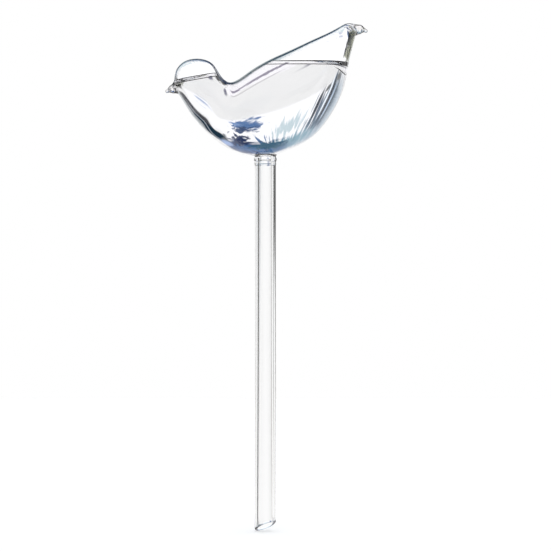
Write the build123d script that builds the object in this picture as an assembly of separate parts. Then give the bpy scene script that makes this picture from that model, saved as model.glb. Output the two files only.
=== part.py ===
from build123d import *
import math
import os

# A bird-shaped glass watering globe, in millimetres.
# The origin is on the stem's axis, level with the lowest point of the drip end.
# +Z runs up the stem, and the beak points towards -X.

# Stem: a drawn glass tube with a slanted, fire-polished drip end
STEM_LENGTH = 179.8
STEM_RADIUS = 5.2
STEM_WALL = 1.7
TIP_CUT_ANGLE = 27.5
TIP_CUT_TURN = 45.0  # the cut's high side is turned this far from +X, towards -Y
LIP_OUTER_ROUND = 0.8
LIP_INNER_ROUND = 0.5

# Weld collar: melted glass with two soft beads, which narrows the bore a little
COLLAR_HEIGHT = 4.1
COLLAR_RADIUS = 5.25
COLLAR_BORE_RADIUS = 3.1
LOWER_BEAD_RISE = 0.95
LOWER_BEAD_RADIUS = 0.85
LOWER_BEAD_RING = 4.55
UPPER_BEAD_RISE = 3.2
UPPER_BEAD_RADIUS = 1.2
UPPER_BEAD_RING = 4.5

# Throat: the flare from the collar out into the belly
THROAT_RADIUS = 8.5
THROAT_SINK = 0.8  # how far the flare's rim lies inside the glass of the belly

# Bird: its length from beak to tail, its height above the collar and its width across the belly
BIRD_LENGTH = 100.0
BIRD_HEIGHT = 66.0
BIRD_WIDTH = 48.0
GLASS_THICKNESS = 1.1  # on the breast and on the back

# Cross-sections of the blown bird, from the root of the beak to the root of the tail tip.
# Each is the top point (x, z), the bottom point (x, z), half the width and the glass thickness.
# Places are shares of the bird's length and height, and heights start at the top of the collar.
BIRD_SECTION_SHARES = [
    ((-0.449, 0.568), (-0.427, 0.470), 0.069, 1.27),  # root of the beak
    ((-0.439, 0.647), (-0.397, 0.398), 0.163, 1.09),  # face
    ((-0.407, 0.705), (-0.366, 0.323), 0.224, 1.00),  # brow
    ((-0.361, 0.732), (-0.329, 0.252), 0.270, 1.00),  # crown
    ((-0.304, 0.730), (-0.287, 0.184), 0.310, 1.00),  # back of the head
    ((-0.257, 0.692), (-0.240, 0.123), 0.348, 1.00),  # start of the nape
    ((-0.221, 0.611), (-0.190, 0.071), 0.388, 1.09),  # slope of the nape
    ((-0.174, 0.559), (-0.130, 0.032), 0.431, 1.27),  # hollow of the nape
    ((-0.090, 0.626), (-0.053, 0.009), 0.474, 1.18),  # shoulder
    ((0.013, 0.721), (0.033, 0.011), 0.500, 1.09),  # above the throat
    ((0.122, 0.797), (0.136, 0.064), 0.487, 1.00),  # back
    ((0.225, 0.870), (0.240, 0.164), 0.438, 1.00),  # rump
    ((0.313, 0.930), (0.333, 0.344), 0.354, 1.09),  # start of the tail
    ((0.370, 0.976), (0.390, 0.545), 0.254, 1.27),  # tail
    ((0.407, 0.998), (0.418, 0.755), 0.154, 1.55),  # end of the tail
    ((0.441, 0.992), (0.445, 0.905), 0.060, 1.45),  # root of the tail tip
]
POINTS_PER_SECTION = 12
BELLY_FULLNESS_SHARE = 0.10  # how much wider a section is below its middle than above it
END_WALL = 1.4  # glass left in front of the cavity at the beak and at the tail
END_CAVITY_SHARE = 0.35  # size of the cavity's end sections beside the bulb's own

# Beak: a solid drawn bit of glass, bent down to a rounded point
BEAK_SECTION_SHARES = [
    ((-0.464, 0.538), (-0.448, 0.476), 0.044),
    ((-0.479, 0.517), (-0.467, 0.479), 0.025),
    ((-0.489, 0.500), (-0.482, 0.479), 0.015),
]
BEAK_END_SHARES = (-0.486, 0.488)
BEAK_END_RADIUS = 0.7

# Tail tip: the solid point where the glass was pulled off, with its hook and end bead
TAIL_TIP_SECTION_SHARES = [
    ((0.468, 0.985), (0.465, 0.918), 0.044),
    ((0.487, 0.968), (0.480, 0.927), 0.027),
    ((0.498, 0.953), (0.493, 0.929), 0.017),
]
TAIL_BEAD_SHARES = (0.500, 0.938)
TAIL_BEAD_RADIUS = 1.0

# Water: a free surface in the tail, a tilted one in the head, and a rounded foot in the throat
TAIL_WATER_SHARES = (-0.050, 0.698)  # where the tail's air space starts
HEAD_WATER_SHARES = (-0.335, 0.592)  # the middle of the head's surface
HEAD_WATER_TILT = 8.9
HEAD_AIR_SHARE = 0.45  # length of the head's air space beside the whole bird's
WATER_FOOT = 0.4
WATER_FOOT_ROUND = 5.5


def placed(shares):
    """A point of the bird's middle plane, from its shares of the length and the height."""
    return Vector(shares[0] * BIRD_LENGTH, 0, shares[1] * BIRD_HEIGHT)


def section_middle(section):
    return (placed(section[0]) + placed(section[1])) / 2


def section_points(section, inset=0.0):
    """Points round one section, from its top, moved in by the inset."""
    height = placed(section[0]) - placed(section[1])
    up = height.normalized()
    half_height = height.length / 2 - inset
    half_width = section[2] * BIRD_WIDTH - inset
    points = []
    for step in range(POINTS_PER_SECTION):
        turn = 2 * math.pi * step / POINTS_PER_SECTION
        fullness = 1 - BELLY_FULLNESS_SHARE * math.cos(turn)
        rise = up * half_height * math.cos(turn)
        sideways = Vector(0, half_width * math.sin(turn) * fullness, 0)
        points.append(section_middle(section) + rise + sideways)
    return points


def cavity_end(section, next_section):
    """A small section that closes the cavity, one end wall in from the end of the bulb."""
    middle = section_middle(section)
    inwards = (section_middle(next_section) - middle).normalized()
    ring = section_points(section)
    return [middle + inwards * END_WALL + (point - middle) * END_CAVITY_SHARE for point in ring]


def skin(rings):
    """A smooth solid through rings of points. Even knots make neighbouring rings line up."""
    knots = [step / POINTS_PER_SECTION for step in range(POINTS_PER_SECTION + 1)]
    wires = [Wire([Edge.make_spline(ring, periodic=True, parameters=knots)]) for ring in rings]
    return Solid.make_loft(wires)


def upright_cylinder(radius, bottom, top):
    return Pos(0, 0, (bottom + top) / 2) * Cylinder(radius, top - bottom)


def ball(centre, radius):
    return Pos(centre) * Sphere(radius)


def cube(size):
    return Box(size, size, size)


# The bird's outside and its cavity
outer_rings = [section_points(section) for section in BIRD_SECTION_SHARES]
outside = skin(outer_rings)
cavity_rings = [cavity_end(BIRD_SECTION_SHARES[0], BIRD_SECTION_SHARES[1])]
for section in BIRD_SECTION_SHARES[1:-1]:
    cavity_rings.append(section_points(section, inset=section[3] * GLASS_THICKNESS))
cavity_rings.append(cavity_end(BIRD_SECTION_SHARES[-1], BIRD_SECTION_SHARES[-2]))
cavity = skin(cavity_rings)

# Bulb: the blown shell, its throat and the hole into the collar. The belly's underside is nearly
# a sphere, so its rise at the flare's rim follows from the half width of the widest section.
belly_radius = BIRD_WIDTH * max(section[2] for section in BIRD_SECTION_SHARES)
throat_height = THROAT_SINK + THROAT_RADIUS**2 / (2 * belly_radius)
throat_curve = Spline((COLLAR_RADIUS, 0), (THROAT_RADIUS, throat_height), tangents=((0, 1), (1, 0)))
throat_sides = Polyline((THROAT_RADIUS, throat_height), (0, throat_height), (0, 0), (COLLAR_RADIUS, 0))
throat = revolve(Plane.XZ * make_face(throat_curve + throat_sides), Axis.Z)
body = outside + throat
throat_hole = upright_cylinder(COLLAR_BORE_RADIUS, 0, 2 * throat_height)
bird_bulb = body - cavity - throat_hole

# Beak and tail tip: solid glass that starts on the bulb's own end sections
beak_rings = [section_points(section) for section in BEAK_SECTION_SHARES]
beak_tip = skin([outer_rings[0]] + beak_rings) + ball(placed(BEAK_END_SHARES), BEAK_END_RADIUS)
tail_rings = [section_points(section) for section in TAIL_TIP_SECTION_SHARES]
tail_tip = skin([outer_rings[-1]] + tail_rings) + ball(placed(TAIL_BEAD_SHARES), TAIL_BEAD_RADIUS)

# Water: the cavity below both levels, and a rounded foot that hangs in the throat
tail_surface = Pos(placed(TAIL_WATER_SHARES) + Vector(BIRD_LENGTH / 2, 0, 0))
tail_air = tail_surface * Pos(0, 0, BIRD_LENGTH / 2) * cube(BIRD_LENGTH)
head_surface = Pos(placed(HEAD_WATER_SHARES)) * Rot(0, -HEAD_WATER_TILT, 0)
head_air_length = HEAD_AIR_SHARE * BIRD_LENGTH
head_air = head_surface * Pos(0, 0, head_air_length / 2) * cube(head_air_length)
foot_centre = Vector(0, 0, WATER_FOOT + WATER_FOOT_ROUND)
water_foot = throat_hole & ball(foot_centre, WATER_FOOT_ROUND)
water_charge = cavity - head_air - tail_air + water_foot

# Collar: a ring with two beads, below the bird and cut to the underside of the belly
collar_ring = upright_cylinder(COLLAR_RADIUS, -COLLAR_HEIGHT, 0)
lower_bead = Pos(0, 0, LOWER_BEAD_RISE - COLLAR_HEIGHT) * Torus(LOWER_BEAD_RING, LOWER_BEAD_RADIUS)
upper_bead = Pos(0, 0, UPPER_BEAD_RISE - COLLAR_HEIGHT) * Torus(UPPER_BEAD_RING, UPPER_BEAD_RADIUS)
collar_bore = upright_cylinder(COLLAR_BORE_RADIUS, -COLLAR_HEIGHT, 0)
weld_collar = collar_ring + lower_bead + upper_bead - collar_bore - body

# Stem: the tube, cut on a slant at the drip end, with both edges melted round
cut_angle = math.radians(TIP_CUT_ANGLE)
lip_drop = LIP_OUTER_ROUND * (1 / math.cos(cut_angle) - 1)
cut_height = (STEM_RADIUS - LIP_OUTER_ROUND) * math.tan(cut_angle) - lip_drop
cut_face = Pos(0, 0, cut_height) * Rot(0, 0, -TIP_CUT_TURN) * Rot(0, -TIP_CUT_ANGLE, 0)
below_cut = cut_face * Pos(0, 0, -STEM_LENGTH / 2) * cube(STEM_LENGTH)
stem_bore = upright_cylinder(STEM_RADIUS - STEM_WALL, -STEM_RADIUS, STEM_LENGTH)
stem_tube = upright_cylinder(STEM_RADIUS, -STEM_RADIUS, STEM_LENGTH) - stem_bore - below_cut
outer_lip = stem_tube.edges().filter_by(GeomType.ELLIPSE).sort_by(SortBy.LENGTH)[-1]
stem_tube = fillet(outer_lip, LIP_OUTER_ROUND)
inner_lip = stem_tube.edges().filter_by(GeomType.ELLIPSE).sort_by(SortBy.LENGTH)[0]
stem_tube = fillet(inner_lip, LIP_INNER_ROUND)

# Everything above the stem is drawn from the top of the collar, and is lifted into place
lift = Pos(0, 0, STEM_LENGTH + COLLAR_HEIGHT)
PARTS = {
    "bird_bulb": lift * bird_bulb,
    "beak_tip": lift * beak_tip,
    "tail_tip": lift * tail_tip,
    "weld_collar": lift * weld_collar,
    "stem_tube": stem_tube,
    "water_charge": lift * water_charge,
}
os.makedirs("parts", exist_ok=True)
for name, shape in PARTS.items():
    export_step(shape, "parts/" + name + ".step")
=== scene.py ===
import math

import bmesh
import bpy
import numpy as np
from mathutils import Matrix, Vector, noise


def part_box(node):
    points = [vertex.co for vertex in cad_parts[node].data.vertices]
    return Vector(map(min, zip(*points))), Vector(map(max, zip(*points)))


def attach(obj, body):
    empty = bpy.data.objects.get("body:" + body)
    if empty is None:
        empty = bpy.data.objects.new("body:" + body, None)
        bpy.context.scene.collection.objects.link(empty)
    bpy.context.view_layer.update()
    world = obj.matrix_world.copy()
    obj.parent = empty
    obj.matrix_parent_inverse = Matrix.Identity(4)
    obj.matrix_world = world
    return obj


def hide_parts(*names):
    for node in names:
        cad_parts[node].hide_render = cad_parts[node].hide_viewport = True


# A clear glass watering globe in the form of a bird, held up on its stem over a pale floor.
# All sizes are in metres, in the row frame: the stem is on the Z axis and the beak points to -X.

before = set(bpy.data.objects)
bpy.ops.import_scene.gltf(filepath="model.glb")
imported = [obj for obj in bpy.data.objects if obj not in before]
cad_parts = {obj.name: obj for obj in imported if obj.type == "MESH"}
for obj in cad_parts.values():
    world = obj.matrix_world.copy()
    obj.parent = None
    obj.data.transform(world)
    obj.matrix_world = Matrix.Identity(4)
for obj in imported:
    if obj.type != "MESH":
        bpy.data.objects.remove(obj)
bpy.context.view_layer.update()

# Stem: a drawn tube whose bore opens towards the slanted drip end
STEM_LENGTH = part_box("stem_tube")[1].z
STEM_RADIUS = 0.0052
BORE_TOP_RADIUS = 0.00320
BORE_FOOT_RADIUS = 0.00370
TIP_CUT_ANGLE = math.radians(27.5)
TIP_CUT_TURN = math.radians(45.0)
STEM_SIDES = 96
STEM_RINGS = 48
SLANT_TOP = 0.0070  # the rings of the straight tube start above the slanted cut
LIP_STEPS = 10

# Weld collar: melted glass with two soft beads
COLLAR_HEIGHT = 0.0041
COLLAR_RADIUS = 0.00525
COLLAR_BORE_RADIUS = 0.0031
COLLAR_STEPS = 48
BEADS = [  # height above the foot of the collar, how far it stands out, half its height
    (0.00095, 0.00018, 0.00050),
    (0.00300, 0.00045, 0.00085),
]
COLLAR_TOP = STEM_LENGTH + COLLAR_HEIGHT

# Throat: the flare from the collar out into the belly
THROAT_RADIUS = 0.0085
THROAT_HEIGHT = 0.0023
THROAT_STEPS = 16
THROAT_HOLE_TOP = COLLAR_TOP + 2 * THROAT_HEIGHT  # well inside the cavity

# Bird: its size, and its cross-sections from the root of the beak to the root of the tail tip.
# Each is the top point (x, z), the bottom point (x, z), half the width and the glass thickness,
# as shares of the bird's sizes. Heights start at the top of the collar.
BIRD_LENGTH = 0.100
BIRD_HEIGHT = 0.066
BIRD_WIDTH = 0.048
GLASS_THICKNESS = 0.0011
BIRD_SECTION_SHARES = [
    ((-0.449, 0.568), (-0.427, 0.470), 0.069, 1.27),  # root of the beak
    ((-0.439, 0.647), (-0.397, 0.398), 0.163, 1.09),  # face
    ((-0.407, 0.705), (-0.366, 0.323), 0.224, 1.00),  # brow
    ((-0.361, 0.732), (-0.329, 0.252), 0.270, 1.00),  # crown
    ((-0.304, 0.730), (-0.287, 0.184), 0.310, 1.00),  # back of the head
    ((-0.257, 0.692), (-0.240, 0.123), 0.348, 1.00),  # start of the nape
    ((-0.221, 0.611), (-0.190, 0.071), 0.388, 1.09),  # slope of the nape
    ((-0.174, 0.559), (-0.130, 0.032), 0.431, 1.27),  # hollow of the nape
    ((-0.090, 0.626), (-0.053, 0.009), 0.474, 1.18),  # shoulder
    ((0.013, 0.721), (0.033, 0.011), 0.500, 1.09),  # above the throat
    ((0.122, 0.797), (0.136, 0.064), 0.487, 1.00),  # back
    ((0.225, 0.870), (0.240, 0.164), 0.438, 1.00),  # rump
    ((0.313, 0.930), (0.333, 0.344), 0.354, 1.09),  # start of the tail
    ((0.370, 0.976), (0.390, 0.545), 0.254, 1.27),  # tail
    ((0.407, 0.998), (0.418, 0.755), 0.154, 1.55),  # end of the tail
    ((0.441, 0.992), (0.445, 0.905), 0.060, 1.45),  # root of the tail tip
]
BELLY_FULLNESS_SHARE = 0.10
END_WALL = 0.0014
END_CAVITY_SHARE = 0.35
BIRD_RINGS = 220
BIRD_SIDES = 160
WAVE_HEIGHT = 0.00005  # how far hand-blown glass strays from the smooth form
WAVE_SCALE = 75.0
OUTER_SEED, INNER_SEED = 3.5, 11.5  # the inner seed also moves the water, which follows the glass

# Beak and tail tip: solid glass that starts on the bulb's own end sections
BEAK_SECTION_SHARES = [
    ((-0.464, 0.538), (-0.448, 0.476), 0.044),
    ((-0.479, 0.517), (-0.467, 0.479), 0.025),
    ((-0.489, 0.500), (-0.482, 0.479), 0.015),
]
TAIL_TIP_SECTION_SHARES = [
    ((0.468, 0.985), (0.465, 0.918), 0.044),
    ((0.487, 0.968), (0.480, 0.927), 0.027),
    ((0.498, 0.953), (0.493, 0.929), 0.017),
]
BEAK_END_RADIUS = 0.0006
TAIL_END_RADIUS = 0.0008
TIP_RINGS = 60
TIP_SIDES = 80
TIP_SWELL_SHARE = 0.16  # soft swellings left by the pull
TIP_SWELLS = 1.5
END_STEPS = 6

# Water: two free surfaces, which climb the glass at their rims, and a rounded foot in the throat
TAIL_WATER_SHARES = (-0.050, 0.698)
HEAD_WATER_SHARES = (-0.335, 0.592)
HEAD_WATER_TILT = math.radians(8.9)
NAPE_X = -0.0174
WATER_GAP = 0.0001  # between the water's skin and the glass
CUT_TOLERANCE = 0.000001  # how near to a plane the points of a cut count as on it
RIM_TOLERANCE = 0.00001  # the same for the open rim
WATER_FOOT = 0.0004
WATER_FOOT_ROUND = 0.0055
FOOT_STEPS = 8
MENISCUS_RISE = 0.0024
MENISCUS_DROP = 0.0021  # how far the level middle lies under the plane where the CAD's water ends
MENISCUS_REACH = 0.0020
MENISCUS_STEPS = 14
MENISCUS_SHARE = 0.8  # how far in towards the middle the curved part goes
SHADED_LINE_STEPS = (0, 1, 2)  # the steps of the curved part that are painted as a dark line of shade
LOW_SHADE_LINE_DROPS = (0.0017, 0.0021)  # the lower painted line of shade on the glass, below the rim

FOOT_RISE = WATER_FOOT_ROUND - math.sqrt(WATER_FOOT_ROUND**2 - COLLAR_BORE_RADIUS**2)
FOOT_EDGE = COLLAR_TOP + WATER_FOOT + FOOT_RISE  # where the foot's round meets the hole

# Slots of every glass piece
OPEN_GLASS, WET_GLASS, MELTED_JOINT = range(3)
# Slots of the water; the last is a painted dark line of shade
FREE_WATER, HELD_WATER, PAINTED_WATER_LINE = range(3)

# Glass and water: how light bends, the tints, and the colours of painted shade
GLASS_IOR = 1.47
WATER_IOR = 1.33
STRAIGHT_ON = 1.0  # bends no light: melted joints, and the water's skin, as its wet glass bends it already
CLEAR = (1.0, 1.0, 1.0)
NEARLY_CLEAR = (0.99, 0.99, 0.99)
DRAWN_TINT = (0.93, 0.92, 0.91)
# painted shade on the tips' rims, where they are seen edge on
DRAWN_RIM_SHADE = (0.05, 0.045, 0.04)
# painted shade on the bulb's upper rims, where they are seen edge on
BLOWN_RIM_SHADE = (0.008, 0.006, 0.004)
HELD_TINT = (0.89, 0.89, 0.898)
# a dark line of shade painted on the water at the rims of its surfaces
LINE_SHADE_TINT = (0.02, 0.018, 0.018)
LINE_SHADE_DEEPER = (0.01, 0.009, 0.009)
LINE_SHADE_CLEARNESS = 0.2
TINT_SCALE = 90.0
TINT_WANDER = 0.012
# How far a wall turns away before its painted shade starts, and where the shade is full
BLOWN_FACING = (0.58, 0.72)
DRAWN_FACING = (0.20, 0.50)
STEM_REFLECTION_FACING = (0.25, 0.45)
SHADE_MARK_FACING = (0.30, 0.50)
# How far a wall looks up before the painted rim shade starts, and where it is full
RIM_SHADE_UPWARDS = (0.1, 0.5)
# The painted dark reflection on the stem's wall: centre (x, z) and half sizes
STEM_REFLECTION_CENTRE = (0.0050, 0.187)
STEM_REFLECTION_SIZE = (0.0012, 0.058)
STEM_REFLECTION_SOFTNESS = 0.5
STEM_REFLECTION_TINT = (0.002, 0.002, 0.002)

OVAL, BOX = "oval", "box"
# Marks laid on the blown glass; the tail edge, nape, back and head marks are painted shade. Columns:
# name, shape, centre (x, z), half length and half width, depth to each side, slant in degrees, softness,
# how much the grain moves the edge, whether it shows only where the wall is seen edge on, and tint
MARKS = [
    # painted shade along the tail's rear edge
    ("painted tail edge shade", BOX, (0.0414, 0.2391), (0.0074, 0.0016), 0.02, 74.7, 0.15, 0.2, False, (0.35, 0.36, 0.27)),
    ("tail bubble", OVAL, (0.0402, 0.2379), (0.0006, 0.0006), 0.02, 0, 0.3, 0, False, (0.99, 0.99, 0.99)),
    # a thin dark line beside the tail's rear edge
    ("tail line", BOX, (0.0401, 0.2394), (0.0068, 0.0003), 0.02, 74.7, 0.3, 0.3, False, (0.06, 0.06, 0.06)),
    # painted shade in the hollow of the nape and along the back, seen edge on
    ("painted nape shade", BOX, (-0.0212, 0.2217), (0.004, 0.0019), 0.016, -36, 0.25, 0.3, True, (0.001, 0.001, 0.001)),
    ("painted back shade", BOX, (-0.006, 0.2269), (0.0105, 0.0011), 0.011, 31, 0.5, 0.25, True, (0.004, 0.003, 0.002)),
    # a small grey-blue spot near the top of the tail
    ("tail spot", OVAL, (0.0369, 0.2441), (0.0010, 0.0004), 0.02, 20, 0.4, 0.3, False, (0.45, 0.48, 0.58)),
    # painted shade near the root of the beak
    ("painted head shade", OVAL, (-0.0425, 0.2190), (0.0030, 0.0009), 0.02, 20, 0.4, 0.6, False, (0.25, 0.26, 0.22)),
]
MARK_GRAIN = 700.0
MARK_DETAIL = 2.0
MARK_FADE_SHARE = 0.2  # over this share of its depth a mark fades out

# Floor
FLOOR_HALF = 1.5
FLOOR_DROP = 0.0002
FLOOR_COLOUR = (0.8, 0.8, 0.8, 1)
FLOOR_ROUGHNESS = 1.0
FLOOR_WHITE = 0.4  # lifts the floor to white for the camera

# Studio: what the glass sees round the object, as soft-edged panels over a white room. Directions are
# azimuth, 0 straight behind the object and growing towards +X, and elevation, both in degrees. A slant
# turns a panel counterclockwise. Panels of the set stand three times round the object, single ones once.
SETS_ROUND = 3
SET, SINGLE = "set", "single"
EVEN, BLOTCHES, FEATHERS = "even", "blotches", "feathers"
TEXTURE_CONTRAST = 4.0
BLOTCH_SCALE = 22.0  # per unit of direction
BLOTCH_DETAIL = 3.0
FEATHER_WIDTH = 1.0  # degrees
FEATHER_LENGTH = 14.0
FEATHER_SLANT = 12.0
FEATHER_DETAIL = 2.0
ROOM = (1.0, 1.0, 1.0)
STUDIO = [
    # name, copies, shape, azimuth, elevation, half width, half height, slant, softness,
    # texture, how much the texture moves the edge, colour
    ("ceiling light", SINGLE, BOX, 0, 68, 200, 26, 0, 0.15, EVEN, 0, (1.12, 1.12, 1.12)),
    ("softbox", SET, BOX, -1, 14.5, 24, 11.5, 0, 0.12, EVEN, 0, (1.22, 1.22, 1.25)),
    ("pale mist", SET, OVAL, -33, 22, 15, 18, 0, 0.50, FEATHERS, 0.30, (0.50, 0.60, 0.70)),
    ("grey mist", SET, OVAL, -24.5, 15, 7.5, 13, 12, 0.30, FEATHERS, 0.90, (0.13, 0.19, 0.26)),
    ("teal haze", SET, OVAL, -14, 31, 14, 8, 0, 0.40, FEATHERS, 0.55, (0.28, 0.46, 0.56)),
    ("blue haze", SET, OVAL, 1, 36, 17, 8, 0, 0.40, EVEN, 0, (0.01, 0.11, 0.28)),
    ("navy haze", SET, OVAL, 14, 33, 15, 12, 0, 0.25, BLOTCHES, 0.15, (0.0, 0.032, 0.14)),
    ("blue strands", SET, OVAL, 9, 30, 13, 7, 0, 0.40, FEATHERS, 1.5, (0.05, 0.16, 0.38)),
    ("teal band", SET, OVAL, -3, 28.5, 10, 4.5, 0, 0.30, BLOTCHES, 0.6, (0.01, 0.10, 0.19)),
    ("navy blotches", SET, OVAL, 12.5, 21.5, 6, 7, 0, 0.30, BLOTCHES, 0.9, (0.003, 0.022, 0.10)),
    ("outer shade", SET, BOX, 47, 20, 8, 6, 0, 0.40, FEATHERS, 0.3, (0.42, 0.47, 0.50)),
    ("dark teal", SET, BOX, 30, 20.5, 8, 4.5, 0, 0.25, FEATHERS, 0.45, (0.01, 0.035, 0.06)),
    ("light blue patch", SET, OVAL, 26, 27, 5, 4, 0, 0.50, EVEN, 0, (0.38, 0.52, 0.85)),
    ("blue splash", SET, OVAL, 8.5, 8, 5, 4, 0, 0.30, BLOTCHES, 0.75, (0.07, 0.18, 0.42)),
    ("navy splash", SET, OVAL, 9.5, 11, 4, 3, 0, 0.30, BLOTCHES, 0.7, (0.02, 0.06, 0.17)),
    ("swoosh", SET, OVAL, 11.8, 5.8, 3.2, 0.9, -22, 0.50, BLOTCHES, 0.3, (0.16, 0.30, 0.60)),
    ("navy crescent", SET, OVAL, 32, 13.8, 7.3, 5, 0, 0.15, EVEN, 0, (0.0, 0.003, 0.014)),
    ("crescent gap", SET, OVAL, 31.2, 19.5, 0.5, 6, 8, 0.50, EVEN, 0, (0.80, 0.86, 0.92)),
    ("pale strokes", SET, OVAL, -8, 15, 4.5, 4.5, 0, 0.50, FEATHERS, 1.2, (0.66, 0.80, 0.86)),
    ("olive shade", SET, OVAL, 31, -2, 9, 1.3, 12, 0.50, FEATHERS, 0.3, (0.20, 0.17, 0.15)),
    ("dark feather", SET, OVAL, -22.3, 9.5, 1.1, 10, 10, 0.40, EVEN, 0, (0.015, 0.025, 0.045)),
    ("thin feather", SET, OVAL, -15.9, 10, 0.9, 7, 12, 0.40, EVEN, 0, (0.02, 0.035, 0.06)),
    ("finer feather", SET, OVAL, -17.8, 11, 0.5, 7, 14, 0.50, EVEN, 0, (0.12, 0.16, 0.24)),
    ("outer feather", SET, OVAL, -28.0, 13.5, 1.0, 9, 6, 0.40, EVEN, 0, (0.06, 0.09, 0.12)),
    ("white gap", SET, OVAL, -20.0, 9, 0.7, 9, 10, 0.40, EVEN, 0, (1.00, 1.08, 1.18)),
    ("blue gap", SET, OVAL, -25.2, 12, 0.7, 8, 8, 0.50, EVEN, 0, (0.62, 0.76, 0.95)),
    ("large spot", SET, OVAL, -24, 2, 2.5, 1.5, -20, 0.50, EVEN, 0, (0.15, 0.16, 0.16)),
    ("small spot", SET, OVAL, -17, 4, 1.2, 1.2, 0, 0.50, EVEN, 0, (0.15, 0.16, 0.16)),
    ("table top", SET, BOX, 0, -34, 60, 15, 0, 0.03, EVEN, 0, (1.14, 1.12, 1.16)),
    ("table edge", SET, BOX, 13, -18.2, 6, 0.5, 20, 0.50, EVEN, 0, (0.62, 0.60, 0.62)),
    ("purple line", SET, OVAL, 14.5, -24.4, 9, 1.9, 20, 0.50, FEATHERS, 0.5, (0.27, 0.24, 0.33)),
    ("purple spot", SET, OVAL, -1.5, -16, 3.2, 2.0, 30, 0.50, BLOTCHES, 0.4, (0.18, 0.18, 0.26)),
    ("grey ground", SINGLE, BOX, 0, -80, 200, 20, 0, 0.10, EVEN, 0, (0.45, 0.44, 0.43)),
    ("dark card", SINGLE, BOX, -66, 20, 19, 25, 0, 0.06, EVEN, 0, (0.07, 0.07, 0.055)),
    ("low dark card", SINGLE, BOX, -53, -1.4, 6.5, 3.8, 0, 0.08, EVEN, 0, (0.03, 0.03, 0.03)),
    ("small dark card", SINGLE, BOX, 34, 1.5, 6, 3.5, 0, 0.30, EVEN, 0, (0.20, 0.20, 0.20)),
    ("far dark card", SINGLE, BOX, 114, 20, 19, 25, 0, 0.06, EVEN, 0, (0.07, 0.07, 0.055)),
    ("breast card", SINGLE, BOX, -44, -29.5, 19, 5.5, 24, 0.30, EVEN, 0, (0.02, 0.03, 0.06)),
]

# Camera: level with the middle of the object, as far away as the photograph's perspective asks
VIEW_CENTRE = Vector((0.0050, 0.0, 0.1257))
VIEW_WIDTH = 0.2711
VIEW_DISTANCE = 1.4
SENSOR_WIDTH_MM = 36.0  # a camera's own unit
LIGHT_BOUNCES = 32  # light crosses many walls of glass


# Helpers for the materials and the studio

def calc(tree, operation, *values):
    """A math node on sockets and numbers."""
    node = tree.nodes.new("ShaderNodeMath")
    node.operation = operation
    for socket, value in zip(node.inputs, values):
        if isinstance(value, bpy.types.NodeSocket):
            tree.links.new(value, socket)
        else:
            socket.default_value = value
    return node.outputs[0]


def ramp(tree, value, low, high):
    """A smooth step from 0 at low to 1 at high."""
    node = tree.nodes.new("ShaderNodeMapRange")
    node.interpolation_type = "SMOOTHERSTEP"
    node.inputs["From Min"].default_value = low
    node.inputs["From Max"].default_value = high
    tree.links.new(value, node.inputs["Value"])
    return node.outputs[0]


def blend(tree, factor, under, over):
    """One colour over another."""
    node = tree.nodes.new("ShaderNodeMix")
    node.data_type = "RGBA"
    # The node has one socket of each name for every kind of value
    for name, value in (("Factor", factor), ("A", under), ("B", over)):
        socket = next(s for s in node.inputs if s.name == name and (s.type == "RGBA") != (name == "Factor"))
        if isinstance(value, bpy.types.NodeSocket):
            tree.links.new(value, socket)
        else:
            socket.default_value = (*value, 1)
    return next(s for s in node.outputs if s.type == "RGBA")


def split(tree, vector):
    """The x, y and z of a vector."""
    node = tree.nodes.new("ShaderNodeSeparateXYZ")
    tree.links.new(vector, node.inputs[0])
    return node.outputs


def combined(tree, x, y):
    """A flat vector from its x and y."""
    node = tree.nodes.new("ShaderNodeCombineXYZ")
    tree.links.new(x, node.inputs[0])
    tree.links.new(y, node.inputs[1])
    return node.outputs[0]


def mapped(tree, place, location, slant, scale):
    """A flat place seen from a slanted, scaled frame."""
    node = tree.nodes.new("ShaderNodeMapping")
    node.vector_type = "TEXTURE"
    node.inputs["Location"].default_value = (*location, 0)
    node.inputs["Rotation"].default_value = (0, 0, math.radians(slant))
    node.inputs["Scale"].default_value = (*scale, 1)
    tree.links.new(place, node.inputs["Vector"])
    return node.outputs[0]


def texture(tree, vector, scale, detail):
    """Noise about zero."""
    node = tree.nodes.new("ShaderNodeTexNoise")
    node.inputs["Scale"].default_value = scale
    node.inputs["Detail"].default_value = detail
    tree.links.new(vector, node.inputs["Vector"])
    return calc(tree, "MULTIPLY_ADD", node.outputs["Fac"], TEXTURE_CONTRAST, -TEXTURE_CONTRAST / 2)


def panel(tree, place, shape, location, size, slant, softness, roughened=None):
    """How much a soft-edged panel covers a place. Its edge may be moved by a texture, by an amount."""
    inside = mapped(tree, place, location, slant, size)
    if shape == OVAL:
        node = tree.nodes.new("ShaderNodeVectorMath")
        node.operation = "LENGTH"
        tree.links.new(inside, node.inputs[0])
        distance = node.outputs["Value"]
    else:
        x, y, z = split(tree, inside)
        distance = calc(tree, "MAXIMUM", calc(tree, "ABSOLUTE", x), calc(tree, "ABSOLUTE", y))
    if roughened:
        distance = calc(tree, "MULTIPLY_ADD", *roughened, distance)
    return ramp(tree, distance, 1 + softness, 1 - softness)


# Materials of the glass and the water

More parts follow.
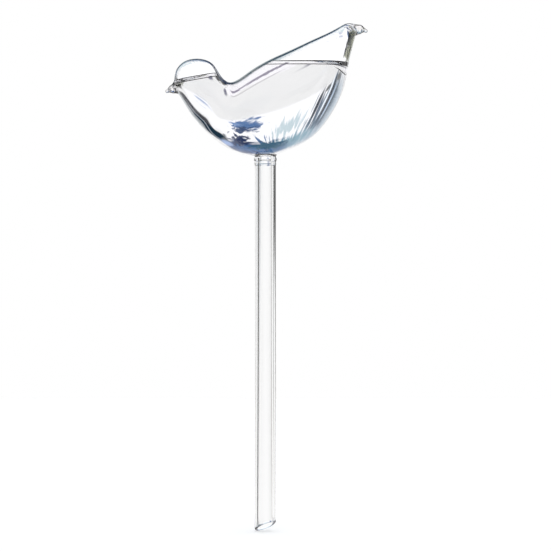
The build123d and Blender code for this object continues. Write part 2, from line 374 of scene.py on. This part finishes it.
def glass(name, ior, tint, deeper=None, edge=None, facing=None, painted_edge_limit=None, marks=(), clearness=1.0):
    """Glass or water whose tint wanders a little. An edge colour paints shade where a wall is seen edge on,
    and marks lie over it.
    """
    material = bpy.data.materials.new(name)
    material.use_nodes = True
    tree = material.node_tree
    shader = tree.nodes["Principled BSDF"]
    shader.inputs["Roughness"].default_value = 0.0
    shader.inputs["IOR"].default_value = ior
    shader.inputs["Transmission Weight"].default_value = clearness
    place = tree.nodes.new("ShaderNodeTexCoord").outputs["Object"]
    cloud = tree.nodes.new("ShaderNodeTexNoise")
    cloud.inputs["Scale"].default_value = TINT_SCALE
    tree.links.new(place, cloud.inputs["Vector"])
    deeper = deeper or tuple(share - TINT_WANDER for share in tint)
    colour = blend(tree, cloud.outputs["Fac"], tint, deeper)
    # Painted shade where a wall is seen edge on, held to where the limit allows
    if edge:
        cover = turned_away(tree, facing)
        if painted_edge_limit:
            cover = calc(tree, "MULTIPLY", cover, painted_edge_limit(tree))
        colour = blend(tree, cover, colour, edge)
    for mark in marks:
        colour = marked(tree, place, colour, *mark)
    tree.links.new(colour, shader.inputs["Base Color"])
    return material


def turned_away(tree, facing):
    """0 on walls that face the viewer, 1 on walls that are seen edge on."""
    weight = tree.nodes.new("ShaderNodeLayerWeight")
    return ramp(tree, weight.outputs["Facing"], *facing)


def upward_walls(tree):
    """Where the painted rim shade shows: 1 on walls whose outer side looks up, 0 on the others."""
    geometry = tree.nodes.new("ShaderNodeNewGeometry")
    x, y, z = split(tree, geometry.outputs["Normal"])
    outwards = calc(tree, "MULTIPLY_ADD", geometry.outputs["Backfacing"], -2.0, 1.0)
    return ramp(tree, calc(tree, "MULTIPLY", z, outwards), *RIM_SHADE_UPWARDS)


def stem_reflection_band(tree):
    """Where the painted dark reflection lies: 1 on the tail side of the stem's upper part, fading to 0 below
    and towards the axis.
    """
    x, y, z = split(tree, tree.nodes.new("ShaderNodeTexCoord").outputs["Object"])
    side_place = combined(tree, x, z)
    return panel(tree, side_place, BOX, STEM_REFLECTION_CENTRE, STEM_REFLECTION_SIZE, 0, STEM_REFLECTION_SOFTNESS)


def marked(tree, place, colour, name, shape, centre, size, depth, slant, softness, amount, edge_on, tint):
    """Lays one mark over the colour, on both sides of the bird's middle plane as deep as it goes."""
    x, y, z = split(tree, place)
    grain = texture(tree, place, MARK_GRAIN, MARK_DETAIL)
    cover = panel(tree, combined(tree, x, z), shape, centre, size, slant, softness, (grain, amount))
    outer, inner = depth * (1 + MARK_FADE_SHARE), depth * (1 - MARK_FADE_SHARE)
    cover = calc(tree, "MULTIPLY", cover, ramp(tree, calc(tree, "ABSOLUTE", y), outer, inner))
    # The painted shade marks show only where the wall is seen edge on
    if edge_on:
        cover = calc(tree, "MULTIPLY", cover, turned_away(tree, SHADE_MARK_FACING))
    return blend(tree, cover, colour, tint)


open_glass = glass("open_glass", GLASS_IOR, NEARLY_CLEAR)
# The tips: painted shade on their rims seen edge on
drawn_glass = glass("drawn_glass", GLASS_IOR, DRAWN_TINT, edge=DRAWN_RIM_SHADE, facing=DRAWN_FACING)
# Blown glass: painted shade on its upper rims seen edge on, and the marks
blown_glass = glass(
    "blown_glass", GLASS_IOR, NEARLY_CLEAR, edge=BLOWN_RIM_SHADE, facing=BLOWN_FACING, painted_edge_limit=upward_walls,
    marks=MARKS,
)
# The stem's wall, with a painted dark reflection on its tail side
stem_wall = glass(
    "stem_wall", GLASS_IOR, NEARLY_CLEAR, edge=STEM_REFLECTION_TINT, facing=STEM_REFLECTION_FACING, painted_edge_limit=stem_reflection_band
)
wet_glass = glass("wet_glass", GLASS_IOR / WATER_IOR, CLEAR)
joint = glass("melted_joint", STRAIGHT_ON, CLEAR)
free_water = glass("free_water", WATER_IOR, CLEAR)
held_water = glass("held_water", STRAIGHT_ON, HELD_TINT)
# Painted shade: a dark, mostly opaque line on the water where its surfaces meet the glass
painted_water_line = glass("painted_water_line", STRAIGHT_ON, LINE_SHADE_TINT, deeper=LINE_SHADE_DEEPER, clearness=LINE_SHADE_CLEARNESS)
BULB_SLOTS = [blown_glass, wet_glass, joint]
TIP_SLOTS = [drawn_glass, wet_glass, joint]
COLLAR_SLOTS = [open_glass, wet_glass, joint]
STEM_SLOTS = [stem_wall, wet_glass, joint]
WATER_SLOTS = [free_water, held_water, painted_water_line]


# Rows: each is a cross-section of the bird as its top point, its bottom point and half its width

def spline_through(stations, rows, places):
    """Smooth curves through the rows, read at the given places."""
    gaps = np.diff(stations)
    slopes = np.diff(rows, axis=0) / gaps[:, None]
    matrix = np.eye(len(stations))
    turns = np.zeros_like(rows)
    for here in range(1, len(stations) - 1):
        before, after = gaps[here - 1], gaps[here]
        matrix[here, here - 1 : here + 2] = before, 2 * (before + after), after
        turns[here] = 6 * (slopes[here] - slopes[here - 1])
    bends = np.linalg.solve(matrix, turns)
    cell = np.clip(np.searchsorted(stations, places) - 1, 0, len(gaps) - 1)
    gap = gaps[cell][:, None]
    right = ((places - stations[cell]) / gaps[cell])[:, None]
    left = 1 - right
    straight = left * rows[cell] + right * rows[cell + 1]
    bent = (left**3 - left) * bends[cell] + (right**3 - right) * bends[cell + 1]
    return straight + bent * gap**2 / 6


def placed(shares):
    """A point (x, z) of the bird's middle plane, from its shares of the length and the height."""
    return np.array([shares[0] * BIRD_LENGTH, COLLAR_TOP + shares[1] * BIRD_HEIGHT])


def row_of(section, inset=0.0):
    """The row of a section, moved in by the inset."""
    top, bottom = placed(section[0]), placed(section[1])
    down = (bottom - top) / np.linalg.norm(bottom - top)
    return np.hstack([top + down * inset, bottom - down * inset, section[2] * BIRD_WIDTH - inset])


def middle_of(row):
    return (row[0:2] + row[2:4]) / 2


def shrunk(row, share, shift):
    """A row scaled about its middle and moved."""
    middle = middle_of(row)
    top = middle + (row[0:2] - middle) * share + shift
    bottom = middle + (row[2:4] - middle) * share + shift
    return np.hstack([top, bottom, row[4] * share])


def cavity_end(row, next_row):
    """A small row that closes the cavity, one end wall in from the end of the bulb."""
    inwards = middle_of(next_row) - middle_of(row)
    return shrunk(row, END_CAVITY_SHARE, inwards / np.linalg.norm(inwards) * END_WALL)


def cavity_rows(extra=0.0):
    """The rows of the cavity, moved in by the glass and by an extra gap."""
    ends = [row_of(section) for section in BIRD_SECTION_SHARES]
    rows = [cavity_end(ends[0], ends[1])]
    for section in BIRD_SECTION_SHARES[1:-1]:
        rows.append(row_of(section, section[3] * GLASS_THICKNESS + extra))
    rows.append(cavity_end(ends[-1], ends[-2]))
    return np.array(rows)


def smooth_rows(rows, count):
    """Evenly spaced rows on smooth curves through the given ones."""
    moves = np.diff(np.array(rows), axis=0)
    tops, bottoms = np.hypot(moves[:, 0], moves[:, 1]), np.hypot(moves[:, 2], moves[:, 3])
    middles = np.hypot(moves[:, 0] + moves[:, 2], moves[:, 1] + moves[:, 3]) / 2
    stations = np.concatenate([[0.0], np.cumsum((tops + bottoms + np.hypot(middles, moves[:, 4])) / 3)])
    return spline_through(stations, np.array(rows), np.linspace(0, stations[-1], count))


def rounded_end(rows, radius):
    """Rows that close a solid tip with a soft end."""
    ahead = middle_of(rows[-1]) - middle_of(rows[-2])
    ahead = ahead / np.linalg.norm(ahead)
    ends = []
    for step in range(1, END_STEPS):
        turn = math.pi / 2 * step / END_STEPS
        ends.append(shrunk(rows[-1], math.cos(turn), ahead * radius * math.sin(turn)))
    return ends


def ring_points(row, sides):
    """The points round one row, from its top towards +Y."""
    turn = np.linspace(0, 2 * math.pi, sides, endpoint=False)
    middle, half = middle_of(row), (row[0:2] - row[2:4]) / 2
    plane = middle + np.cos(turn)[:, None] * half
    sideways = row[4] * np.sin(turn) * (1 - BELLY_FULLNESS_SHARE * np.cos(turn))
    return np.column_stack([plane[:, 0], sideways, plane[:, 1]])


# Meshes

def add_quads(mesh, rings, slot, inside_out):
    """Faces between neighbouring rings of vertices."""
    for ring, after in zip(rings, rings[1:]):
        for here in range(len(ring)):
            there = (here + 1) % len(ring)
            corners = [ring[there], ring[here], after[here], after[there]]
            face = mesh.faces.new(corners[::-1] if inside_out else corners)
            face.material_index = slot
            face.smooth = True


def wavy(point, middle, seed):
    """A point of blown glass, moved a little towards or away from the middle of its ring."""
    outwards = (point - middle).normalized()
    shift = noise.noise(point * WAVE_SCALE + Vector((seed, seed, seed)))
    return point + outwards * shift * WAVE_HEIGHT


def add_skin(mesh, rows, sides, slot, inside_out=False, seed=0.0):
    """A skin through the rows. Returns its first and last ring of vertices."""
    rings = []
    for here, row in enumerate(rows):
        middle_x, middle_z = middle_of(row)
        middle = Vector((middle_x, 0, middle_z))
        points = [Vector(point) for point in ring_points(row, sides)]
        if seed and 0 < here < len(rows) - 1:
            points = [wavy(point, middle, seed) for point in points]
        rings.append([mesh.verts.new(point) for point in points])
    add_quads(mesh, rings, slot, inside_out)
    return rings[0], rings[-1]


def turn_outwards(face, outwards):
    """Flips a new face that looks away from the given direction."""
    face.normal_update()
    if face.normal.dot(Vector(outwards)) < 0:
        face.normal_flip()


def add_cap(mesh, ring, slot, outwards):
    """A flat face on a ring, which looks along the given direction."""
    face = mesh.faces.new(ring)
    turn_outwards(face, outwards)
    face.material_index = slot


def add_pole(mesh, ring, slot, outwards):
    """A fan that closes a small ring at its middle."""
    middle = sum((vertex.co for vertex in ring), Vector()) / len(ring)
    pole = mesh.verts.new(middle)
    for here, there in zip(ring, ring[1:] + ring[:1]):
        face = mesh.faces.new((here, there, pole))
        turn_outwards(face, outwards)
        face.material_index = slot
        face.smooth = True


def turned_ring(mesh, radius, height, move=None):
    """A ring of vertices round the Z axis."""
    ring = []
    for side in range(STEM_SIDES):
        turn = 2 * math.pi * side / STEM_SIDES
        point = Vector((radius * math.cos(turn), radius * math.sin(turn), height))
        ring.append(mesh.verts.new(move(point) if move else point))
    return ring


def add_turned(mesh, profile, slots, move=None):
    """A ring-shaped solid turned round the Z axis, from the closed line (radius, height)."""
    rings = [turned_ring(mesh, radius, height, move) for radius, height in profile]
    for ring, after, slot in zip(rings, rings[1:] + rings[:1], slots):
        add_quads(mesh, [ring, after], slot, inside_out=True)


def make_column(name, profile, slots, materials):
    """A solid round the Z axis, from a line (radius, height) that runs upwards."""
    mesh = bmesh.new()
    rings = [turned_ring(mesh, radius, height) for radius, height in profile]
    for ring, after, slot in zip(rings, rings[1:], slots):
        add_quads(mesh, [after, ring], slot, inside_out=False)
    add_pole(mesh, rings[0], slots[0], (0, 0, -1))
    add_pole(mesh, rings[-1], slots[-1], (0, 0, 1))
    return finished(mesh, name, materials)


def finished(mesh, name, materials):
    """Turns the mesh into an object with its materials."""
    data = bpy.data.meshes.new(name)
    mesh.to_mesh(data)
    mesh.free()
    for material in materials:
        data.materials.append(material)
    piece = bpy.data.objects.new(name, data)
    bpy.context.scene.collection.objects.link(piece)
    return piece


def combine(piece, tool, operation):
    """Joins the tool to the piece or cuts it away."""
    change = piece.modifiers.new(operation, "BOOLEAN")
    change.operation = operation
    change.object = tool
    change.solver = "EXACT"
    change.material_mode = "INDEX"
    graph = bpy.context.evaluated_depsgraph_get()
    result = bpy.data.meshes.new_from_object(piece.evaluated_get(graph))
    piece.modifiers.clear()
    piece.data = result
    bpy.data.objects.remove(tool)


def sharpen(piece, slot):
    """Keeps the corner sharp where the faces of one slot meet the others."""
    data = piece.data
    sides = {}
    for face in data.polygons:
        for key in face.edge_keys:
            sides.setdefault(key, set()).add(face.material_index == slot)
    for edge in data.edges:
        if len(sides.get(edge.key, ())) == 2:
            edge.use_edge_sharp = True


# Water levels. Each surface is a point on its level middle, its upward direction and its side of the nape

tail_x, tail_z = placed(TAIL_WATER_SHARES)
head_x, head_z = placed(HEAD_WATER_SHARES)
head_up = Vector((-math.sin(HEAD_WATER_TILT), 0, math.cos(HEAD_WATER_TILT)))
SURFACES = [
    (Vector((tail_x, 0, tail_z - MENISCUS_DROP)), Vector((0, 0, 1)), 1),
    (Vector((head_x, 0, head_z)) - head_up * MENISCUS_DROP, head_up, -1),
]


def on_side(point, side):
    """True for a point on one side of the nape."""
    return (point.x - NAPE_X) * side > 0


def cut_faces(mesh, faces, level, up, clear_above=False):
    """Cuts the faces at a level. Clears what is above if asked."""
    # Dictionaries keep their order, so every run cuts alike
    edges = dict.fromkeys(edge for face in faces for edge in face.edges)
    vertices = dict.fromkeys(vertex for face in faces for vertex in face.verts)
    geometry = [*faces, *edges, *vertices]
    bmesh.ops.bisect_plane(
        mesh, geom=geometry, dist=CUT_TOLERANCE, plane_co=level, plane_no=up, clear_outer=clear_above
    )


def cut_at_water(mesh, slot, clear_above=False):
    """Cuts the faces of one slot where the water's rim meets them."""
    for point, up, side in SURFACES:
        faces = [
            face for face in mesh.faces
            if face.material_index == slot and on_side(face.calc_center_median(), side)
        ]
        cut_faces(mesh, faces, point + up * MENISCUS_RISE, up, clear_above)


def paint_low_shade_line(mesh):
    """The painted dark line of shade on the glass where the curved part of each surface ends."""
    for point, up, side in SURFACES:
        for drop in LOW_SHADE_LINE_DROPS:
            faces = [
                face for face in mesh.faces
                if face.material_index == HELD_WATER and all(on_side(v.co, side) for v in face.verts)
            ]
            cut_faces(mesh, faces, point + up * (MENISCUS_RISE - drop), up)
        for face in mesh.faces:
            below = MENISCUS_RISE - (face.calc_center_median() - point).dot(up)
            if face.material_index == HELD_WATER and all(on_side(v.co, side) for v in face.verts):
                if LOW_SHADE_LINE_DROPS[0] < below < LOW_SHADE_LINE_DROPS[1]:
                    face.material_index = PAINTED_WATER_LINE


def is_wet(point):
    """True for a point between the foot of the water and the rim above it."""
    for on_plane, up, side in SURFACES:
        if on_side(point, side):
            return (point - on_plane).dot(up) < MENISCUS_RISE and point.z > FOOT_EDGE
    return False


def rim_round(mesh, rim_point, up):
    """The open edge of the water at a surface, as a ring of vertices."""
    edges = [
        edge for edge in mesh.edges
        if edge.is_boundary and all(abs((v.co - rim_point).dot(up)) < RIM_TOLERANCE for v in edge.verts)
    ]
    ends = {}
    for edge in edges:
        for vertex in edge.verts:
            ends.setdefault(vertex, []).append(edge)
    edge = edges[0]
    rim = [edge.verts[0]]
    while edge.other_vert(rim[-1]) is not rim[0]:
        rim.append(edge.other_vert(rim[-1]))
        edge = next(other for other in ends[rim[-1]] if other is not edge)
    return rim


def add_free_surface(mesh, point, up):
    """Closes the open rim near a surface: rings that fall from the rim to the level, and a flat middle."""
    rim = rim_round(mesh, point + up * MENISCUS_RISE, up)
    places = [vertex.co.copy() for vertex in rim]
    centre = sum(places, Vector()) / len(places)
    rings = [rim]
    for step in range(1, MENISCUS_STEPS + 1):
        share = MENISCUS_SHARE * (step / MENISCUS_STEPS) ** 2
        ring = []
        for place in places:
            inwards = (centre - place) * share
            drop = MENISCUS_RISE * (1 - math.exp(-inwards.length / MENISCUS_REACH))
            ring.append(mesh.verts.new(place + inwards - up * drop))
        rings.append(ring)
    # The first steps of the curve are painted as a dark line of shade
    for step, (ring, after) in enumerate(zip(rings, rings[1:])):
        add_quads(mesh, [ring, after], PAINTED_WATER_LINE if step in SHADED_LINE_STEPS else FREE_WATER, inside_out=False)
    middle = mesh.faces.new(rings[-1])
    middle.material_index = FREE_WATER
    middle.smooth = True


# Pieces

def make_throat():
    """The flare from the collar out into the belly. Its inner side lies in the hole that is cut later."""
    mesh = bmesh.new()
    inside = COLLAR_BORE_RADIUS / 2
    profile, slots = [(inside, COLLAR_TOP)], [MELTED_JOINT]
    for step in range(THROAT_STEPS + 1):
        turn = math.pi / 2 * step / THROAT_STEPS
        radius = THROAT_RADIUS - (THROAT_RADIUS - COLLAR_RADIUS) * math.cos(turn)
        profile.append((radius, COLLAR_TOP + THROAT_HEIGHT * math.sin(turn)))
        slots.append(OPEN_GLASS)
    profile.append((inside, COLLAR_TOP + THROAT_HEIGHT))
    slots.append(OPEN_GLASS)
    add_turned(mesh, profile, slots)
    return finished(mesh, "throat", BULB_SLOTS)


def make_throat_hole():
    """What is cut out of the throat, from the collar up into the cavity."""
    profile = [(COLLAR_BORE_RADIUS, height) for height in (STEM_LENGTH, FOOT_EDGE, THROAT_HOLE_TOP)]
    return make_column("throat_hole", profile, [WET_GLASS] * len(profile), BULB_SLOTS)


def make_bulb():
    """The blown shell, with its throat and the hole into the collar."""
    mesh = bmesh.new()
    outer = smooth_rows([row_of(section) for section in BIRD_SECTION_SHARES], BIRD_RINGS)
    first, last = add_skin(mesh, outer, BIRD_SIDES, OPEN_GLASS, seed=OUTER_SEED)
    add_cap(mesh, first, MELTED_JOINT, (-1, 0, 0))
    add_cap(mesh, last, MELTED_JOINT, (1, 0, 0))
    inner = smooth_rows(cavity_rows(), BIRD_RINGS)
    first, last = add_skin(mesh, inner, BIRD_SIDES, WET_GLASS, inside_out=True, seed=INNER_SEED)
    add_pole(mesh, first, WET_GLASS, (1, 0, 0))
    add_pole(mesh, last, WET_GLASS, (-1, 0, 0))
    cut_at_water(mesh, WET_GLASS)
    bulb = finished(mesh, "bulb_shell", BULB_SLOTS)
    combine(bulb, make_throat(), "UNION")
    combine(bulb, make_throat_hole(), "DIFFERENCE")
    for face in bulb.data.polygons:
        if face.material_index == WET_GLASS and not is_wet(face.center):
            face.material_index = OPEN_GLASS
    return bulb


def make_tip(name, root, shares, outwards, radius):
    """The beak or the tail tip, from the bulb's own end section to its rounded end."""
    mesh = bmesh.new()
    rows = list(smooth_rows([row_of(root)] + [row_of(section) for section in shares], TIP_RINGS))
    for here, row in enumerate(rows):
        along = here / (TIP_RINGS - 1)
        swelling = 1 - TIP_SWELL_SHARE * along * math.sin(2 * math.pi * TIP_SWELLS * along)
        rows[here] = shrunk(row, swelling, 0)
    rows += rounded_end(rows, radius)
    first, last = add_skin(mesh, rows, TIP_SIDES, OPEN_GLASS, inside_out=outwards < 0)
    add_cap(mesh, first, MELTED_JOINT, (-outwards, 0, 0))
    add_pole(mesh, last, OPEN_GLASS, (outwards, 0, 0))
    return finished(mesh, name, TIP_SLOTS)


def make_collar():
    """The ring of melted glass between the stem and the belly."""
    mesh = bmesh.new()
    profile, slots = [], []
    for step in range(COLLAR_STEPS + 1):
        height = COLLAR_HEIGHT * step / COLLAR_STEPS
        radius = STEM_RADIUS + (COLLAR_RADIUS - STEM_RADIUS) * step / COLLAR_STEPS
        for rise, bulge, half_height in BEADS:
            radius += bulge * math.exp(-(((height - rise) / half_height) ** 2))
        profile.append((radius, STEM_LENGTH + height))
        slots.append(OPEN_GLASS)
    slots[-1] = MELTED_JOINT
    for step in range(COLLAR_STEPS + 1):
        down = step / COLLAR_STEPS
        radius = COLLAR_BORE_RADIUS + (BORE_TOP_RADIUS - COLLAR_BORE_RADIUS) * down**2
        profile.append((radius, STEM_LENGTH + COLLAR_HEIGHT * (1 - down)))
        slots.append(OPEN_GLASS)
    slots[-1] = MELTED_JOINT
    add_turned(mesh, profile, slots)
    return finished(mesh, "collar_weld", COLLAR_SLOTS)


def make_stem():
    """The drawn tube, with a lip at the drip end that is melted round and then cut on a slant."""
    mesh = bmesh.new()
    lip_round = (STEM_RADIUS - BORE_FOOT_RADIUS) / 2
    lip_middle = STEM_RADIUS - lip_round
    heights = [lip_round, *np.linspace(SLANT_TOP, STEM_LENGTH, STEM_RINGS)]
    profile = []
    for height in reversed(heights):
        down = 1 - height / STEM_LENGTH
        profile.append((BORE_TOP_RADIUS + (BORE_FOOT_RADIUS - BORE_TOP_RADIUS) * down**2, height))
    for step in reversed(range(1, 2 * LIP_STEPS)):
        turn = math.pi / 2 * step / LIP_STEPS
        profile.append((lip_middle + lip_round * math.cos(turn), lip_round * (1 - math.sin(turn))))
    profile += [(STEM_RADIUS, height) for height in heights]
    slots = [OPEN_GLASS] * (len(profile) - 1) + [MELTED_JOINT]
    slope = math.tan(TIP_CUT_ANGLE)
    across = Vector((math.cos(TIP_CUT_TURN), -math.sin(TIP_CUT_TURN), 0))
    lowest = lip_middle * slope

    def slanted(point):
        """Lifts the lip onto the slanted cut, and leaves the tube above it alone."""
        in_lip = point.z < SLANT_TOP / 2
        rise = point.dot(across) * slope + lowest
        return point + Vector((0, 0, rise)) if in_lip else point

    add_turned(mesh, profile, slots, slanted)
    return finished(mesh, "stem_glass", STEM_SLOTS)


def make_foot():
    """The rounded foot of the water, and its column up through the throat."""
    radius_at_edge = COLLAR_BORE_RADIUS - WATER_GAP
    profile = []
    for step in range(1, FOOT_STEPS + 1):
        radius = radius_at_edge * step / FOOT_STEPS
        rise = WATER_FOOT_ROUND - math.sqrt(WATER_FOOT_ROUND**2 - radius**2)
        profile.append((radius, COLLAR_TOP + WATER_FOOT + rise))
    profile.append((radius_at_edge, THROAT_HOLE_TOP))
    slots = [FREE_WATER] * (FOOT_STEPS - 1) + [HELD_WATER] * 2
    return make_column("foot", profile, slots, WATER_SLOTS)


def make_water():
    """The water in the bird: the cavity's form below both surfaces, and its foot."""
    mesh = bmesh.new()
    rows = smooth_rows(cavity_rows(WATER_GAP), BIRD_RINGS)
    first, last = add_skin(mesh, rows, BIRD_SIDES, HELD_WATER, seed=INNER_SEED)
    add_pole(mesh, first, HELD_WATER, (-1, 0, 0))
    add_pole(mesh, last, HELD_WATER, (1, 0, 0))
    cut_at_water(mesh, HELD_WATER, clear_above=True)
    paint_low_shade_line(mesh)
    for point, up, side in SURFACES:
        add_free_surface(mesh, point, up)
    bmesh.ops.recalc_face_normals(mesh, faces=mesh.faces)
    water = finished(mesh, "water_body", WATER_SLOTS)
    combine(water, make_foot(), "UNION")
    return water


bulb = make_bulb()
beak = make_tip("beak_glass", BIRD_SECTION_SHARES[0], BEAK_SECTION_SHARES, -1, BEAK_END_RADIUS)
tail = make_tip("tail_glass", BIRD_SECTION_SHARES[-1], TAIL_TIP_SECTION_SHARES, 1, TAIL_END_RADIUS)
PIECES = [  # piece, node, slot and the slot whose border stays sharp
    (bulb, "bird_bulb", "bulb_glass", MELTED_JOINT),
    (beak, "beak_tip", "tip_glass", MELTED_JOINT),
    (tail, "tail_tip", "tip_glass", MELTED_JOINT),
    (make_collar(), "weld_collar", "collar_glass", MELTED_JOINT),
    (make_stem(), "stem_tube", "stem_glass", MELTED_JOINT),
    (make_water(), "water_charge", "water", HELD_WATER),
]
for piece, node, slot, sharp_slot in PIECES:
    sharpen(piece, sharp_slot)
    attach(piece, "root")
    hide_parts(node)


# Surroundings

def floor_material():
    """Pale paint for the camera and the shadow. What is seen in or through the glass passes it by."""
    material = bpy.data.materials.new("floor")
    material.use_nodes = True
    tree = material.node_tree
    path = tree.nodes.new("ShaderNodeLightPath")
    seen_in_glass = calc(tree, "MAXIMUM", path.outputs["Is Glossy Ray"], path.outputs["Is Transmission Ray"])
    clear = tree.nodes.new("ShaderNodeBsdfTransparent")
    paint = tree.nodes["Principled BSDF"]
    paint.inputs["Base Color"].default_value = FLOOR_COLOUR
    paint.inputs["Roughness"].default_value = FLOOR_ROUGHNESS
    paint.inputs["Emission Color"].default_value = (1, 1, 1, 1)
    white = calc(tree, "MULTIPLY", path.outputs["Is Camera Ray"], FLOOR_WHITE)
    tree.links.new(white, paint.inputs["Emission Strength"])
    mix = tree.nodes.new("ShaderNodeMixShader")
    tree.links.new(seen_in_glass, mix.inputs[0])
    tree.links.new(paint.outputs[0], mix.inputs[1])
    tree.links.new(clear.outputs[0], mix.inputs[2])
    tree.links.new(mix.outputs[0], tree.nodes["Material Output"].inputs["Surface"])
    return material


def make_floor():
    """A large square just under the drip end."""
    half = FLOOR_HALF
    corners = [(-half, -half, 0), (half, -half, 0), (half, half, 0), (-half, half, 0)]
    mesh = bpy.data.meshes.new("floor")
    mesh.from_pydata(corners, [], [range(len(corners))])
    mesh.materials.append(floor_material())
    floor = bpy.data.objects.new("floor", mesh)
    floor.location.z = -FLOOR_DROP
    bpy.context.scene.collection.objects.link(floor)


def make_studio():
    """The world: the panels, one over the other, and plain white for what the camera sees itself."""
    world = bpy.data.worlds.new("studio")
    bpy.context.scene.world = world
    world.use_nodes = True
    tree = world.node_tree
    direction = tree.nodes.new("ShaderNodeTexCoord").outputs["Generated"]
    x, y, z = split(tree, direction)
    azimuth = calc(tree, "MULTIPLY", calc(tree, "ARCTAN2", x, y), math.degrees(1))
    elevation = calc(tree, "MULTIPLY", calc(tree, "ARCSINE", z), math.degrees(1))
    set_width = 360.0 / SETS_ROUND
    in_set = calc(tree, "FLOORED_MODULO", calc(tree, "ADD", azimuth, set_width / 2), set_width)
    set_azimuth = calc(tree, "SUBTRACT", in_set, set_width / 2)
    places = {SINGLE: combined(tree, azimuth, elevation), SET: combined(tree, set_azimuth, elevation)}
    feather_place = mapped(tree, places[SET], (0, 0), FEATHER_SLANT, (FEATHER_WIDTH, FEATHER_LENGTH))
    textures = {
        BLOTCHES: texture(tree, direction, BLOTCH_SCALE, BLOTCH_DETAIL),
        FEATHERS: texture(tree, feather_place, 1.0, FEATHER_DETAIL),
    }
    colour = ROOM
    for name, copies, shape, *where, softness, kind, amount, shade in STUDIO:
        at, up, half_width, half_height, slant = where
        roughened = (textures[kind], amount) if kind in textures else None
        size = (half_width, half_height)
        cover = panel(tree, places[copies], shape, (at, up), size, slant, softness, roughened)
        colour = blend(tree, cover, colour, shade)
    path = tree.nodes.new("ShaderNodeLightPath")
    colour = blend(tree, path.outputs["Is Camera Ray"], colour, (1.0, 1.0, 1.0))
    tree.links.new(colour, tree.nodes["Background"].inputs["Color"])


def make_camera():
    """The photograph's view."""
    data = bpy.data.cameras.new("camera")
    data.sensor_width = SENSOR_WIDTH_MM
    data.lens = SENSOR_WIDTH_MM * VIEW_DISTANCE / VIEW_WIDTH
    camera = bpy.data.objects.new("camera", data)
    camera.location = VIEW_CENTRE - Vector((0, VIEW_DISTANCE, 0))
    camera.rotation_euler = (math.pi / 2, 0, 0)
    bpy.context.scene.collection.objects.link(camera)
    bpy.context.scene.camera = camera


make_floor()
make_studio()
make_camera()
bpy.context.scene.view_settings.view_transform = "Standard"
bpy.context.scene.cycles.max_bounces = LIGHT_BOUNCES
bpy.context.scene.cycles.transmission_bounces = LIGHT_BOUNCES
bpy.context.scene.cycles.glossy_bounces = LIGHT_BOUNCES
